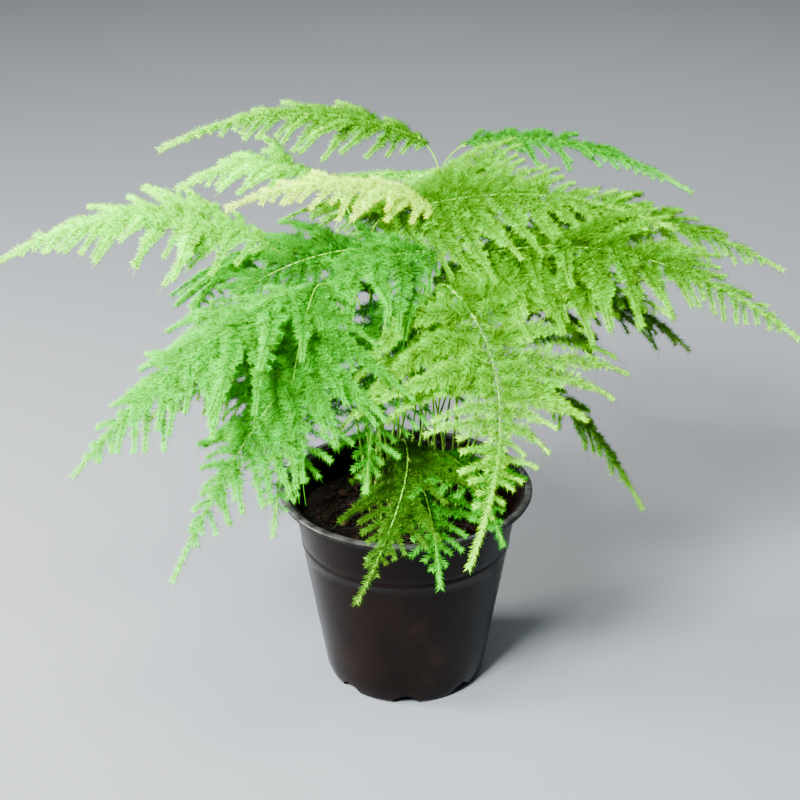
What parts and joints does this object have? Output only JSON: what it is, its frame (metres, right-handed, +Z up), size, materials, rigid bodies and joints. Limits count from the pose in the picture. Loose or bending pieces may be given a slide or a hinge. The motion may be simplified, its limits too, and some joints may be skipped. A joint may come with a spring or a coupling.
{
  "type": "potted asparagus fern",
  "caption": "Feathery asparagus fern with arching lime-green sprays, growing in a round black plastic nursery pot.",
  "frame": {"origin": "centre of the underside of the pot, on the surface it stands on", "axes": "+Z up; -Y is the plant's front, where the brightest spray hangs over the rim; +X is to the right seen from the front"},
  "size_m": [0.3836, 0.293, 0.2851],
  "materials": {
    "pot": "satin",
    "soil": "matte",
    "stem": "satin",
    "leaf_bright": "matte",
    "leaf_mid": "matte",
    "leaf_deep": "matte",
    "leaf_pale": "matte",
    "leaf_golden": "matte"
  },
  "bodies": {
    "root": {"pot": "pot", "soil": "soil", "stem_01": "stem", "spray_01": "leaf_bright", "stem_02": "stem", "spray_02": "leaf_bright", "stem_03": "stem", "spray_03": "leaf_bright", "stem_04": "stem", "spray_04": "leaf_bright", "stem_05": "stem", "spray_05": "leaf_bright", "stem_06": "stem", "spray_06": "leaf_deep", "stem_07": "stem", "spray_07": "leaf_bright", "stem_08": "stem", "spray_08": "leaf_mid", "stem_09": "stem", "spray_09": "leaf_bright", "stem_10": "stem", "spray_10": "leaf_golden", "stem_11": "stem", "spray_11": "leaf_pale", "stem_12": "stem", "spray_12": "leaf_mid", "stem_13": "stem", "spray_13": "leaf_mid", "stem_14": "stem", "spray_14": "leaf_pale", "stem_15": "stem", "spray_15": "leaf_pale", "stem_16": "stem", "spray_16": "leaf_mid", "stem_17": "stem", "spray_17": "leaf_mid", "stem_18": "stem", "spray_18": "leaf_deep", "stem_19": "stem", "spray_19": "leaf_mid", "stem_20": "stem", "spray_20": "leaf_mid", "stem_21": "stem", "spray_21": "leaf_deep", "stem_22": "stem", "spray_22": "leaf_mid", "stem_23": "stem", "spray_23": "leaf_mid", "stem_24": "stem", "spray_24": "leaf_mid", "stem_25": "stem", "spray_25": "leaf_bright", "stem_26": "stem", "spray_26": "leaf_mid", "stem_27": "stem", "spray_27": "leaf_deep", "stem_28": "stem", "spray_28": "leaf_deep", "stem_29": "stem", "spray_29": "leaf_deep"}
  },
  "joints": []
}
